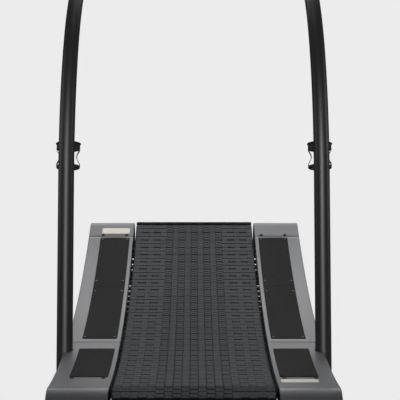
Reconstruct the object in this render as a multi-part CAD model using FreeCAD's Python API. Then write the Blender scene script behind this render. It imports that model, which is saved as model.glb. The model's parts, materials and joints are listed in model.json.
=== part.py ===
import FreeCAD, Part
import os
import math
from math import sin, cos, tan, asin, acos, atan2, pi, radians, degrees, sqrt

os.makedirs("parts", exist_ok=True)
V = FreeCAD.Vector

# ---------------------------------------------------------------- driving dimensions (mm)
# Frame: origin on the floor under the middle of the bounding box, +Z up,
# +Y towards the front (the way the runner faces), +X to the runner's right.
DECK_LOW = 240.0        # height of the lowest point of the side covers' top face
R_DECK = 3590.0         # radius of the concave running arc, at the covers' top face
Y_LOW = -158.3          # where along Y the arc is lowest
TREAD_UP = 3.0          # tread top stands this far above the covers
R_NOSE = 82.0           # radius of the tread's outer face round the end drums
PITCH_DEPTH = 14.0      # belt pitch line below the tread top
Y_JR, Y_JF = -806.3, 799.2   # where the running arc meets the rear and the front drum
N_DECK, N_SLATS = 27, 62
BELT_W = 432.0          # width of the running surface
GAP_IN = 225.0          # inner edge of each side cover
COVER_OUT = 389.0       # outer edge of each side cover
COVER_T = 3.0
TUBE_R, TUBE_WALL = 24.15, 3.0
TUBE_X = 388.0
TUBE_LEAN = 17.5        # degrees from vertical, leaning forward
TUBE_Y0, TUBE_Z0 = -269.3, 386.0   # a point of the straight upright's centre line
TUBE_BEND_Z = 740.0     # where the forward sweep begins
TUBE_BEND_R = 800.0
TUBE_END_LEAN = 80.0
HAND_LEN = 205.0        # straight hand-hold after the sweep
CORNER_R = 110.0        # inward bend to the cross bar
RAIL_IN, RAIL_OUT = 232.0, 272.0
LEG_IN, LEG_OUT = 334.0, 382.0
WHEEL_R = 38.0
FOOT_TRAVEL = 20.0

# ---------------------------------------------------------------- derived geometry
OZ = DECK_LOW + R_DECK
R_TREAD = R_DECK - TREAD_UP
R_PITCH = R_TREAD + PITCH_DEPTH
R_DRUMP = R_NOSE - PITCH_DEPTH
T_R = asin((Y_JR - Y_LOW) / R_TREAD)
T_F = asin((Y_JF - Y_LOW) / R_TREAD)
PITCH = (T_F - T_R) * R_PITCH / N_DECK
R_AX = R_PITCH + R_DRUMP            # distance of both drum axes from the arc's centre


def pol(r, t, cy=Y_LOW, cz=OZ):
    """(y, z) at radius r below the centre, t from the downward vertical, towards +Y."""
    return (cy + r * sin(t), cz - r * cos(t))


CF = pol(R_AX, T_F)
CR = pol(R_AX, T_R)
DIST = math.hypot(CF[0] - CR[0], CF[1] - CR[1])
SLOPE = atan2(CF[1] - CR[1], CF[0] - CR[0])


def loop_len(rr):
    psi = 2 * asin(DIST / 2 / (rr - R_DRUMP))
    return (T_F - T_R) * R_PITCH + (2 * pi + (T_F - T_R) - psi) * R_DRUMP + psi * rr


lo_, hi_ = 1500.0, 40000.0
for _ in range(80):
    mid = (lo_ + hi_) / 2
    if loop_len(mid) > N_SLATS * PITCH:
        lo_ = mid
    else:
        hi_ = mid
R_RET = (lo_ + hi_) / 2
half = asin(DIST / 2 / (R_RET - R_DRUMP))
PS_F, PS_R = SLOPE + half, SLOPE - half      # return arc's end angles from the downward vertical
O2 = (CF[0] - (R_RET - R_DRUMP) * sin(PS_F), CF[1] + (R_RET - R_DRUMP) * cos(PS_F))
A_F = pi - PS_F + T_F                        # angle wrapped on the front drum
A_R = pi + PS_R - T_R
N_WF = int(A_F * R_DRUMP / PITCH + 0.5)
N_WR = int(A_R * R_DRUMP / PITCH + 0.5)
N_RET = N_SLATS - N_DECK - N_WF - N_WR
L_DECK = N_DECK * PITCH
L_WF = A_F * R_DRUMP
L_RET = R_RET * (PS_F - PS_R)
L_WR = A_R * R_DRUMP


def at(s):
    """Pitch-line point, and the unit vector pointing from the tread side into the loop, at length s from the rear junction, going forward along the deck."""
    s = s % (N_SLATS * PITCH)
    if s <= L_DECK:
        t = T_R + s / R_PITCH
        y, z = pol(R_PITCH, t)
        return y, z, sin(t), -cos(t)
    s -= L_DECK
    if s <= L_WF:
        g = s / R_DRUMP - T_F
        return CF[0] + R_DRUMP * sin(g), CF[1] + R_DRUMP * cos(g), -sin(g), -cos(g)
    s -= L_WF
    if s <= L_RET:
        t = PS_F - s / R_RET
        y, z = pol(R_RET, t, *O2)
        return y, z, -sin(t), cos(t)
    s -= L_RET
    g = pi - PS_R + s / R_DRUMP
    return CR[0] + R_DRUMP * sin(g), CR[1] + R_DRUMP * cos(g), -sin(g), -cos(g)


# ---------------------------------------------------------------- helpers
def save(name, shapes):
    if not isinstance(shapes, (list, tuple)):
        shapes = [shapes]
    solids = []
    for s in shapes:
        solids += s.Solids
    s = solids[0] if len(solids) == 1 else Part.makeCompound(solids)
    assert s.isValid(), name
    s.exportStep("parts/" + name + ".step")
    bb = s.BoundBox
    print("%-22s %3d  X %.1f..%.1f  Y %.1f..%.1f  Z %.1f..%.1f" % (name, len(solids), bb.XMin, bb.XMax, bb.YMin, bb.YMax, bb.ZMin, bb.ZMax))


def fuse(*shapes):
    s = shapes[0]
    rest = list(shapes[1:])
    if rest:
        s = s.multiFuse(rest)
    return s.removeSplitter()


def box(x0, x1, y0, y1, z0, z1):
    return Part.makeBox(x1 - x0, y1 - y0, z1 - z0, V(x0, y0, z0))


def xcyl(r, x0, x1, c):
    return Part.makeCylinder(r, x1 - x0, V(x0, c[0], c[1]), V(1, 0, 0))


def xring(ro, ri, x0, x1, c):
    return xcyl(ro, x0, x1, c).cut(xcyl(ri, x0 - 1, x1 + 1, c))


def prism(pts, x0, x1):
    """Solid from a polygon of (y, z) points, pushed along X."""
    vs = [V(x0, y, z) for y, z in pts]
    return Part.Face(Part.makePolygon(vs + [vs[0]])).extrude(V(x1 - x0, 0, 0))


def band(r0, r1, t0, t1, x0, x1, c=None):
    """Ring sector between two radii about the arc's centre, pushed along X."""
    cy, cz = c or (Y_LOW, OZ)

    def p(r, t):
        y, z = pol(r, t, cy, cz)
        return V(x0, y, z)

    tm = (t0 + t1) / 2
    e = [Part.Arc(p(r0, t0), p(r0, tm), p(r0, t1)).toShape(),
         Part.makeLine(p(r0, t1), p(r1, t1)),
         Part.Arc(p(r1, t1), p(r1, tm), p(r1, t0)).toShape(),
         Part.makeLine(p(r1, t0), p(r0, t0))]
    return Part.Face(Part.Wire(e)).extrude(V(x1 - x0, 0, 0))


def sector(r0, r1, g0, g1, x0, x1, c):
    """Ring sector about a drum axis; g is measured from straight up, towards +Y."""
    def p(r, g):
        return V(x0, c[0] + r * sin(g), c[1] + r * cos(g))

    gm = (g0 + g1) / 2
    e = [Part.Arc(p(r0, g0), p(r0, gm), p(r0, g1)).toShape(),
         Part.makeLine(p(r0, g1), p(r1, g1)),
         Part.Arc(p(r1, g1), p(r1, gm), p(r1, g0)).toShape(),
         Part.makeLine(p(r1, g0), p(r0, g0))]
    return Part.Face(Part.Wire(e)).extrude(V(x1 - x0, 0, 0))


def mirror(s):
    return s.mirror(V(0, 0, 0), V(1, 0, 0))


def placed(s, pos, up, along=V(1, 0, 0)):
    """Moves a shape drawn with +Z up and +X along: +Z goes to 'up', +X to 'along'."""
    z = V(*up).normalize()
    x = V(*along)
    x = (x - z * x.dot(z)).normalize()
    y = z.cross(x)
    m = FreeCAD.Matrix(x.x, y.x, z.x, pos[0], x.y, y.y, z.y, pos[1], x.z, y.z, z.z, pos[2], 0, 0, 0, 1)
    return s.copy().transformed(m)


def on_deck(s, x, t, r=R_DECK):
    """A shape drawn flat (+Z up) set on the running arc at angle t, at height radius r."""
    y, z = pol(r, t)
    return placed(s, (x, y, z), (0, -sin(t), cos(t)))


def hexhead(r, h):
    pts = [V(r * cos(radians(60 * k)), r * sin(radians(60 * k)), 0) for k in range(7)]
    return Part.Face(Part.makePolygon(pts)).extrude(V(0, 0, h))


def th(y):
    return asin((y - Y_LOW) / R_DECK)


# ---------------------------------------------------------------- slat belt
# A slat: an aluminium plate with a stiffening leg, a rubber tread on top, and two
# flexible belts riveted underneath near its ends. Drawn with its pitch point at the
# origin, +Z outward to the tread.
W = PITCH - 2.8


def slat():
    plate = Part.makeBox(428, W - 1.2, 3.0, V(-214, -(W - 1.2) / 2, PITCH_DEPTH - 11.0))
    leg = Part.makeBox(356, 3.0, 20.5, V(-178, -1.5, PITCH_DEPTH - 31.0))
    foot = Part.makeBox(356, 12.0, 2.5, V(-178, -6, PITCH_DEPTH - 33.0))
    return fuse(plate, leg, foot)


def tread():
    # base pad with a field of raised pads, split by two cross grooves and eleven
    # lengthwise grooves
    s = Part.makeBox(BELT_W, W, 7.9, V(-BELT_W / 2, -W / 2, PITCH_DEPTH - 7.95))
    cuts = [Part.makeBox(BELT_W + 2, 1.6, 3, V(-BELT_W / 2 - 1, k * W / 6 * 2 - 0.8 - W / 6 * 1, PITCH_DEPTH - 2.5)) for k in (0, 1)]
    return s.cut(Part.makeCompound(cuts))


SL, TR = slat(), tread()
groups = {"deck": [(k + 0.5) * PITCH for k in range(N_DECK)]}
groups["front_wrap"] = [(N_DECK + k + 0.5) * PITCH for k in range(N_WF)]
groups["return"] = [(N_DECK + N_WF + k + 0.5) * PITCH for k in range(N_RET)]
groups["rear_wrap"] = [(N_DECK + N_WF + N_RET + k + 0.5) * PITCH for k in range(N_WR)]
for g, ss in groups.items():
    a, b = [], []
    for s in ss:
        y, z, ny, nz = at(s)
        a.append(placed(SL, (0, y, z), (0, -ny, -nz)))
        b.append(placed(TR, (0, y, z), (0, -ny, -nz)))
    save(g + "_slats", a)
    save(g + "_treads", b)

e = 1.5
dr = e / R_PITCH
save("deck_belts", [band(R_TREAD + 11.4, R_TREAD + 17.0, T_R + dr, T_F - dr, x, x + 20) for x in (190.0, -210.0)])
dd = e / R_DRUMP
save("front_wrap_belts", [sector(65.0, 70.6, -T_F + dd, -T_F + A_F - dd, x, x + 20, CF) for x in (190.0, -210.0)])
save("rear_wrap_belts", [sector(65.0, 70.6, pi - PS_R + dd, pi - PS_R + A_R - dd, x, x + 20, CR) for x in (190.0, -210.0)])
dq = 30.0 / R_RET   # clear of the slats that straddle the drum tangents
save("return_belts", [band(R_RET - 3.0, R_RET + 2.6, PS_R + dq, PS_F - dq, x, x + 20, O2) for x in (190.0, -210.0)])

# ---------------------------------------------------------------- end drums
for name, c in (("front", CF), ("rear", CR)):
    x1 = 281.0 if name == "front" else 262.0
    ax = fuse(xcyl(20, -216, 216, c), xcyl(12.5, -262, x1, c), xcyl(30, -150, 150, c))
    save(name + "_axle", ax)
    pul = []
    for sgn in (1, -1):
        xa, xb = (187.0, 213.0) if sgn > 0 else (-213.0, -187.0)
        p = xcyl(64.9, xa, xb, c)
        f1 = xcyl(68.0, xa, xa + 2.6, c)
        f2 = xcyl(68.0, xb - 2.6, xb, c)
        p = fuse(p, f1, f2)
        p = p.cut(xcyl(20.03, xa - 1, xb + 1, c))
        holes = [xcyl(11, xa - 1, xb + 1, (c[0] + 42 * sin(radians(60 * k)), c[1] + 42 * cos(radians(60 * k)))) for k in range(6)]
        pul.append(p.cut(Part.makeCompound(holes)))
    save(name + "_pulleys", pul)

# flanged bearings at the four ends of the two axles
br = []
for c in (CF, CR):
    for sgn in (1, -1):
        xa, xb = (240.1, 261.0) if sgn > 0 else (-261.0, -240.1)
        fl = xcyl(40, 240.1, 246, c) if sgn > 0 else xcyl(40, -246, -240.1, c)
        b = fuse(xcyl(27, xa, xb, c), fl).cut(xcyl(12.56, xa - 1, xb + 1, c))
        br.append(b)
save("drum_bearings", br)
save("one_way_bearing", fuse(xcyl(24, 261.6, 279, CF), band(3660.3, 3674.0, T_F - 62.0 / R_AX, T_F, 261.6, 267.0)).cut(xcyl(12.55, 260, 281, CF)))

# ---------------------------------------------------------------- deck rollers
N_ROLL = 33
R_ROLL = R_TREAD + 17.0 + 15.0 + 0.05
t0, t1 = T_R + 100 / R_ROLL, T_F - 100 / R_ROLL
angles = [t0 + (t1 - t0) * k / (N_ROLL - 1) for k in range(N_ROLL)]
rol, stu, hol = [], [], []
for t in angles:
    c = pol(R_ROLL, t)
    r1 = xring(15.0, 5.04, 195.2, 204.2, c)
    s1 = fuse(xcyl(7.5, 192.6, 195.0, c), xcyl(5.0, 195.0, 204.4, c), xcyl(8.0, 204.4, 231.95, c), xcyl(4.9, 231.95, 243.0, c))
    rol += [r1, mirror(r1)]
    stu += [s1, mirror(s1)]
    hol.append(xcyl(4.95, 231.0, 243.5, c))
save("deck_rollers", rol)
save("roller_studs", stu)

# ---------------------------------------------------------------- handrail path
ll = radians(TUBE_LEAN)
d0 = (sin(ll), cos(ll))
n0 = (cos(ll), -sin(ll))
y_b = TUBE_Y0 + (TUBE_BEND_Z - TUBE_Z0) * tan(ll)
CB = (y_b + n0[0] * TUBE_BEND_R, TUBE_BEND_Z + n0[1] * TUBE_BEND_R)
le = radians(TUBE_END_LEAN)
PE = (CB[0] - cos(le) * TUBE_BEND_R, CB[1] + sin(le) * TUBE_BEND_R)
PG = (PE[0] + HAND_LEN * sin(le), PE[1] + HAND_LEN * cos(le))
BAR = (PG[0] + CORNER_R * sin(le), PG[1] + CORNER_R * cos(le))
TUBE_BASE_Z = DECK_LOW - 96.0


def tube_y(z):
    return TUBE_Y0 + (z - TUBE_Z0) * tan(ll)


def tube_solid(r, over=0.0):
    x = TUBE_X
    yb = tube_y(TUBE_BASE_Z)
    p0 = V(x, yb - over * d0[0], TUBE_BASE_Z - over * d0[1])
    p1 = V(x, y_b, TUBE_BEND_Z)
    parts = [Part.makeCylinder(r, (p1 - p0).Length, p0, V(0, d0[0], d0[1]))]
    # forward sweep: a ring section turned about an axis along X through CB
    prof = Part.Face(Part.Wire(Part.makeCircle(r, p1, V(0, d0[0], d0[1]))))
    parts.append(prof.revolve(V(x, CB[0], CB[1]), V(-1, 0, 0), TUBE_END_LEAN - TUBE_LEAN))
    p2 = V(x, PE[0], PE[1])
    p3 = V(x, PG[0], PG[1])
    dv = V(0, sin(le), cos(le))
    parts.append(Part.makeCylinder(r, (p3 - p2).Length, p2, dv))
    cc = V(x - CORNER_R, PG[0], PG[1])
    prof = Part.Face(Part.Wire(Part.makeCircle(r, p3, dv)))
    axis = dv.cross(V(-1, 0, 0))
    parts.append(prof.revolve(cc, axis, 90))
    p4 = V(x - CORNER_R, BAR[0], BAR[1])
    parts.append(Part.makeCylinder(r, p4.x - 0.5 + over, p4, V(-1, 0, 0)))
    return fuse(*parts)


tube = tube_solid(TUBE_R).cut(tube_solid(TUBE_R - TUBE_WALL, over=2.0))
bolt_z = [DECK_LOW - 78.0, DECK_LOW - 28.0]
tube_dir = V(0, d0[0], d0[1])
tb_holes = [Part.makeCylinder(5.3, 60, V(TUBE_X - 30, tube_y(z), z), V(1, 0, 0)) for z in bolt_z]
CAGE_Z = DECK_LOW + 565.0
# local direction of the tube at cage height (inside the swept bend)
beta = asin((CAGE_Z - CB[1]) / TUBE_BEND_R)
cage_y = CB[0] - cos(beta) * TUBE_BEND_R
cg_dir = V(0, sin(beta), cos(beta))
cg_out = V(0, cos(beta), -sin(beta))
cage_holes = [Part.makeCylinder(2.6, 16, V(TUBE_X, cage_y, CAGE_Z) + cg_dir * k + cg_out * 14, cg_out) for k in (-14, 14)]
tube = tube.cut(Part.makeCompound(tb_holes + cage_holes))
save("handrail_right", tube)
save("handrail_left", mirror(tube))

# rubber hand grips on the straight part
gp = Part.makeCylinder(TUBE_R + 4.2, 165, V(TUBE_X, PE[0], PE[1]) + V(0, sin(le), cos(le)) * 20, V(0, sin(le), cos(le)))
gp = gp.cut(Part.makeCylinder(TUBE_R + 0.02, 190, V(TUBE_X, PE[0], PE[1]) + V(0, sin(le), cos(le)) * 5, V(0, sin(le), cos(le))))
save("hand_grips", [gp, mirror(gp)])

# ---------------------------------------------------------------- side frames
frames = []
Y_LEG_R, Y_LEG_F = -560.0, 610.0
Y_MID = tube_y(DECK_LOW - 50.0)


def outrigger(y, w=50.0, x1=LEG_OUT, h=50.0):
    """Square beam from the curved rail to the outer edge, hung from the rail's underside."""
    t = th(y)
    z = pol(3660.0, t)[1]
    return box(RAIL_OUT - 4, x1, y - w / 2, y + w / 2, z - 2, z - 2 + h), z - 2


def side_frame():
    rail = band(3600.0, 3660.0, T_R + 0.0135, T_F - 0.0135, RAIL_IN, RAIL_OUT)
    inner = band(3604.0, 3656.0, T_R + 0.010, T_F - 0.010, RAIL_IN + 4, RAIL_OUT - 4)
    parts = [rail.cut(inner)]
    for c, t, s in ((CF, T_F, -1), (CR, T_R, 1)):
        ta, tb = sorted((t, t + s * 0.045))
        pl = fuse(band(3612.0, 3712.0, ta, tb, RAIL_IN, RAIL_IN + 8), xcyl(46, RAIL_IN, RAIL_IN + 8, c))
        parts.append(pl)
    for y in (Y_LEG_R, Y_LEG_F):
        o, z = outrigger(y)
        foot_top = 56.0
        leg = box(LEG_IN, LEG_OUT, y - 25, y + 25, foot_top, z + 4)
        legi = box(LEG_IN + 4, LEG_OUT - 4, y - 21, y + 21, foot_top + 8, z - 10)
        parts += [o, leg.cut(legi)]
    # outrigger for the handrail, with a sloped face plate beside the tube
    z = pol(3660.0, th(Y_MID))[1]
    parts.append(box(RAIL_OUT - 4, 352.0, Y_MID - 30, Y_MID + 30, z - 6, z + 46))
    f = fuse(*parts)
    cuts = list(hol)
    for c in (CF, CR):
        cuts.append(xcyl(15.0, RAIL_IN - 1, RAIL_IN + 9, c))
    for y in (Y_LEG_R, Y_LEG_F):
        cuts.append(Part.makeCylinder(6.5, 60, V((LEG_IN + LEG_OUT) / 2, y, 30), V(0, 0, 1)))
    f = f.cut(Part.makeCompound(cuts))
    return f


sf = side_frame()
# ears for the front transport wheel
WH_Y, WH_Z = Y_LEG_F + 92.0, WHEEL_R + 6.0
ear = []
for xa in (LEG_IN, LEG_OUT - 6.0):
    ear.append(fuse(box(xa, xa + 6, Y_LEG_F + 24, WH_Y, WH_Z - 16, WH_Z + 34), xcyl(16, xa, xa + 6, (WH_Y, WH_Z))).cut(xcyl(6.05, xa - 1, xa + 7, (WH_Y, WH_Z))))
web = box(LEG_IN, LEG_OUT, Y_LEG_F + 24, Y_LEG_F + 32, 60, WH_Z + 34)
sf = fuse(sf, web, *ear)
save("side_frame_right", sf)
save("side_frame_left", mirror(sf))

# cross members between the two side frames, inside the belt loop
cm = []
for y in (-560.0, -190.0, 190.0, 560.0):
    z = pol(3650.0, th(y))[1]
    t = box(-RAIL_IN + 6, RAIL_IN - 6, y - 20, y + 20, z - 38, z + 2).cut(box(-RAIL_IN + 7, RAIL_IN - 7, y - 17, y + 17, z - 35, z - 1))
    pls = [box(a, a + 6, y - 30, y + 30, z - 36, z + 12) for a in (RAIL_IN - 6.0, -RAIL_IN)]
    cm.append(fuse(t, *pls))
save("cross_members", cm)

# tension screws pulling the rear bearings back
ts = []
for sgn in (1, -1):
    x = sgn * 254.0
    t = T_R + 0.0135
    y, z = pol(3669.0, t)
    dv = V(0, -cos(T_R), -sin(T_R))
    a = V(x, CR[0], CR[1]) - dv * 41.0
    s = Part.makeCylinder(4.0, 78, a - dv * 78, dv)
    h0 = a - dv * 84
    hx = placed(hexhead(7.5, 6), (h0.x, h0.y, h0.z), (dv.x, dv.y, dv.z))
    ts.append(fuse(s, hx))
save("tension_screws", ts)

# ---------------------------------------------------------------- side covers and skirts
Y_SEAM_R, Y_SEAM_F = 613 - 841.3, 1560 - 841.3
RC0, RC1 = R_DECK, R_DECK + COVER_T
g = 1.3 / R_DECK


def cover(ta, tb):
    s = band(RC0, RC1, ta, tb, GAP_IN, COVER_OUT)
    lip = band(RC0, RC0 + 20, ta, tb, GAP_IN, GAP_IN + 2.5)
    return fuse(s, lip)


def tube_slot(r, x0=300.0):
    """Slanted slot round the upright where it passes a cover or a skirt."""
    p0 = V(TUBE_X, tube_y(DECK_LOW - 110), DECK_LOW - 110)
    c = Part.makeCylinder(r, 240, p0, tube_dir)
    b = Part.makeBox(40, 2 * r, 240, V(0, -r, 0))
    b = placed(b, (TUBE_X, p0.y, p0.z), (0, d0[0], d0[1]))
    return fuse(c, b)


nose_r = sector(R_NOSE - 3 - COVER_T, R_NOSE - 3, -T_R - radians(152), -T_R, GAP_IN, COVER_OUT, CR)
nose_f = sector(R_NOSE - 3 - COVER_T, R_NOSE - 3, -T_F, -T_F + radians(150), GAP_IN, COVER_OUT, CF)
rear = fuse(cover(T_R, th(Y_SEAM_R) - g), nose_r).cut(tube_slot(TUBE_R + 2.5))
mainc = cover(th(Y_SEAM_R) + g, th(Y_SEAM_F) - g)
front = fuse(cover(th(Y_SEAM_F) + g, T_F), nose_f)
BX = (249.0, 336.0)
T_BR, T_BF = th(175 - 841.3), th(727.0)
bolts = []
holes = []
for tt in (T_BR, T_BF):
    for x in BX:
        holes.append(on_deck(Part.makeCylinder(3.4, 30, V(0, 0, -20)), x, tt))
        bolts.append(on_deck(fuse(Part.makeCylinder(6.5, 2.6, V(0, 0, 0.05)), Part.makeCylinder(3.0, 8.5, V(0, 0, -8.4))), x, tt))
hc = Part.makeCompound(holes)
rear, front = rear.cut(hc), front.cut(hc)
for n, s in (("rear", rear), ("main", mainc), ("front", front)):
    save(n + "_cover_right", s)
    save(n + "_cover_left", mirror(s))
save("cover_bolts", bolts + [mirror(b) for b in bolts])

SK0, SK1 = 385.0, 388.0
skirt = fuse(band(R_DECK + COVER_T + 0.3, R_DECK + 150.0, T_R, T_F, SK0, SK1),
             xcyl(R_NOSE - 3 - COVER_T - 0.4, SK0, SK1, CF), xcyl(R_NOSE - 3 - COVER_T - 0.4, SK0, SK1, CR))
skirt = skirt.cut(tube_slot(TUBE_R + 2.0))
save("side_skirt_right", skirt)
save("side_skirt_left", mirror(skirt))

# grip pads on the covers
PX0, PX1 = 237.5, 344.5


def pad(ya, yb):
    return band(R_DECK - 2.3, R_DECK - 0.05, th(ya), th(yb), PX0, PX1)


Y_PADS = [(650 - 841.3, 1146.7 - 841.3), (1147.3 - 841.3, 1547 - 841.3)]
Y_SHORT = (190 - 841.3, 536 - 841.3)
longp = [pad(*q) for q in Y_PADS]
shortp = pad(*Y_SHORT)
save("grip_pads", longp + [shortp] + [mirror(q) for q in longp + [shortp]])
scr = []
# the long pads butt together, with their screws set back 44 mm from the joint
SCREW_ROWS = [Y_PADS[0][0] + 12, Y_PADS[0][1] - 44, Y_PADS[1][0] + 44, Y_PADS[1][1] - 12, Y_SHORT[0] + 12, Y_SHORT[1] - 12]
for y in SCREW_ROWS:
    for x in (PX0 + 8, PX1 - 8):
        scr.append(on_deck(Part.makeCylinder(3.6, 1.3, V(0, 0, 2.35)), x, th(y)))
save("pad_screws", scr + [mirror(q) for q in scr])

# blank plates: right rear and left front
bp1 = on_deck(Part.makeBox(102, 44, 1.4, V(-51, -22, 0.1)), 288.0, th(135 - 841.3))
bp2 = on_deck(Part.makeBox(102, 44, 1.4, V(-51, -22, 0.1)), -290.0, th(757.5))
save("blank_plates", [bp1, bp2])

# ---------------------------------------------------------------- handrail brackets
hb, hbb = [], []
z_lo, z_hi = bolt_z[0] - 22, bolt_z[1] + 16
p0 = V(TUBE_X, tube_y(z_lo), z_lo)
L = (z_hi - z_lo) / d0[1]
sad = Part.makeCylinder(TUBE_R + 6.0, L, p0, tube_dir)
blk = placed(Part.makeBox(32, 56, L, V(-34, -28, 0)), (TUBE_X - 2, p0.y, p0.z), (0, d0[0], d0[1]))
sad = sad.common(placed(Part.makeBox(40, 80, L, V(-42, -40, 0)), (TUBE_X - 2, p0.y, p0.z), (0, d0[0], d0[1])))
sad = fuse(sad, blk)
sad = sad.cut(Part.makeCylinder(TUBE_R + 0.05, L + 10, p0 - tube_dir * 5, tube_dir))
sad = sad.cut(Part.makeCompound([Part.makeCylinder(5.3, 60, V(TUBE_X - 50, tube_y(z), z), V(1, 0, 0)) for z in bolt_z]))
save("handrail_brackets", [sad, mirror(sad)])
for z in bolt_z:
    b = Part.makeCylinder(5.0, 57.0, V(TUBE_X - 33.5, tube_y(z), z), V(1, 0, 0))
    hbb += [b, mirror(b)]
save("handrail_bolts", hbb)

# ---------------------------------------------------------------- bottle cages
# Open hoop, two bowed arms and a base hook, on a short stem in front of each upright.
CR_O, CR_I = 36.2, 33.9


def cage():
    # drawn with the upright's centre at the origin, +Z along it, +Y forward
    c = V(0, 60.9, 0)

    def ring(z0, h, ro, ri):
        return Part.makeCylinder(ro, h, V(c.x, c.y, z0)).cut(Part.makeCylinder(ri, h + 2, V(c.x, c.y, z0 - 1)))

    top = ring(30, 20, CR_O, CR_I)
    lip = ring(46, 4, CR_O + 2.6, CR_I)
    bot = ring(-29, 8, CR_O, 22.0)
    body = [top, lip, bot]
    shell = ring(-29, 65, CR_O, CR_I)
    for s in (1, -1):
        # bowed side arms
        arm = shell.common(Part.makeBox(30, 16, 66, V(12 if s > 0 else -42, c.y - 8, -29)))
        body.append(arm)
    back = shell.common(Part.makeBox(22, 20, 76, V(-11, c.y - CR_O - 8, -29)))
    front = shell.common(Part.makeBox(12, 20, 62, V(-6, c.y + 22, -29)))
    stem = Part.makeBox(20, 6.0, 46, V(-10, TUBE_R - 3.0, -23)).cut(Part.makeCylinder(TUBE_R + 0.05, 100, V(0, 0, -50)))
    stem2 = Part.makeBox(20, 3.2, 62, V(-10, 24.4, -26))
    body += [back, front, stem, stem2]
    s = fuse(*body)
    hol = [Part.makeCylinder(2.6, 30, V(0, 18, k), V(0, 1, 0)) for k in (-14, 14)]
    # the back follows the bend of the upright
    bend = Part.makeTorus(TUBE_BEND_R, TUBE_R + 0.12, V(0, TUBE_BEND_R, 0), V(1, 0, 0))
    return s.cut(Part.makeCompound(hol)).cut(bend)


cg = placed(cage(), (TUBE_X, cage_y, CAGE_Z), (cg_dir.x, cg_dir.y, cg_dir.z))
cgl = placed(cage(), (-TUBE_X, cage_y, CAGE_Z), (cg_dir.x, cg_dir.y, cg_dir.z))
save("bottle_cage_right", cg)
save("bottle_cage_left", cgl)

# ---------------------------------------------------------------- console
# Mast clamped on the cross bar, tilting display head on a pin at its top.
by, bz = BAR
ML = 118.0
clamp = fuse(xcyl(TUBE_R + 7, -32, 32, (by, bz)), box(-22, 22, by - 17, by + 17, bz + 10, bz + ML))
clamp = clamp.cut(xcyl(TUBE_R + 0.05, -40, 40, (by, bz)))
hz = bz + ML + 12.0
HP = (by, hz)
ears = [fuse(box(a, a + 6, by - 12, by + 12, bz + ML - 2, hz), xcyl(12, a, a + 6, HP)).cut(xcyl(5.0, a - 1, a + 7, HP)) for a in (-22.0, 16.0)]
clamp = fuse(clamp, *ears)
save("console_mast", clamp)
pin = fuse(xcyl(4.95, -26, 24, HP), xcyl(9.5, 22.05, 28, HP), xcyl(8.0, -30, -22.05, HP))
save("tilt_pin", pin)

# display head, drawn flat with its face towards +Z, then leaned back to face the runner
HW, HH, HD = 250.0, 168.0, 46.0
FACE_UP = 62.0            # face's angle from lying flat


def rbox(w, h, d, r, z0):
    b = Part.makeBox(w, h, d, V(-w / 2, -h / 2, z0))
    ed = [q for q in b.Edges if abs(q.tangentAt(q.FirstParameter).z) > 0.9]
    return b.makeFillet(r, ed)


up = V(0, -sin(radians(FACE_UP)), cos(radians(FACE_UP)))
origin = V(0, by - 30.0, hz + 62.0)


def head(s):
    return placed(s, (origin.x, origin.y, origin.z), (up.x, up.y, up.z))


back = rbox(HW, HH, 30, 22, -36).cut(rbox(HW - 5, HH - 5, 28, 19.5, -33.5))
front_b = rbox(HW, HH, 10, 22, -5.9)
front_b = front_b.cut(rbox(HW - 5, HH - 5, 8, 19.5, -8.0))
front_b = front_b.cut(Part.makeBox(170.2, 92.2, 20, V(-85.1, -20.1, -10)))
btn = [(-55, -52), (0, -52), (55, -52)]
front_b = front_b.cut(Part.makeCompound([Part.makeCylinder(12.1, 30, V(x, y, -20)) for x, y in btn]))
save("console_bezel", head(front_b))
lens = Part.makeBox(170, 92, 3.0, V(-85, -20, 0.8))
save("display_lens", head(lens))
# pin lug on the back shell, between the mast's ears
backw = head(back)
lug = fuse(xcyl(11.0, -15.8, 15.8, HP), prism([(by - 9, hz + 2), (by + 9, hz + 2), (by + 9, hz + 22), (by - 9, hz + 38)], -15.8, 15.8))
lug = lug.cut(head(rbox(HW - 5, HH - 5, 60, 19.5, -33.5)))
lug = lug.cut(xcyl(5.0, -20, 20, HP))
backw = fuse(backw, lug)
save("console_back_shell", backw)
board = Part.makeBox(190, 130, 1.6, V(-95, -65, -20))
save("console_board", head(board))
for k, (x, y) in enumerate(btn):
    b = fuse(Part.makeCylinder(12.0, 9.0, V(x, y, -3.0)), Part.makeCylinder(13.6, 1.5, V(x, y, -3.5)))
    save("button_%d" % (k + 1), head(b))

# ---------------------------------------------------------------- wheels, feet, lift handle
wx0, wx1 = LEG_IN + 8.0, LEG_OUT - 8.0
wc = (WH_Y, WH_Z)
wh = xring(WHEEL_R, 6.1, wx0, wx1, wc)
wh = wh.cut(xring(WHEEL_R - 10, 14, wx0 - 1, wx0 + 8, wc)).cut(xring(WHEEL_R - 10, 14, wx1 - 8, wx1 + 1, wc))
save("transport_wheel_right", wh)
save("transport_wheel_left", mirror(wh))
wa = fuse(xcyl(6.0, LEG_IN - 5, LEG_OUT + 0.5, wc), xcyl(9.0, LEG_IN - 9, LEG_IN - 0.05, wc))
save("wheel_axles", [wa, mirror(wa)])


def foot():
    pad_ = fuse(Part.makeCylinder(27.0, 9.0), Part.makeCone(27.0, 14.0, 9.0, V(0, 0, 9.0)))
    stem_ = Part.makeCylinder(6.0, 84, V(0, 0, 17))
    nut = placed(hexhead(10.5, 8), (0, 0, 40), (0, 0, 1))
    return fuse(pad_, stem_, nut)


lx = (LEG_IN + LEG_OUT) / 2
for nm, x, y in (("rear_left", -lx, Y_LEG_R), ("rear_right", lx, Y_LEG_R), ("front_left", -lx, Y_LEG_F), ("front_right", lx, Y_LEG_F)):
    save("foot_" + nm, placed(foot(), (x, y, 0), (0, 0, 1)))

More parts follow.
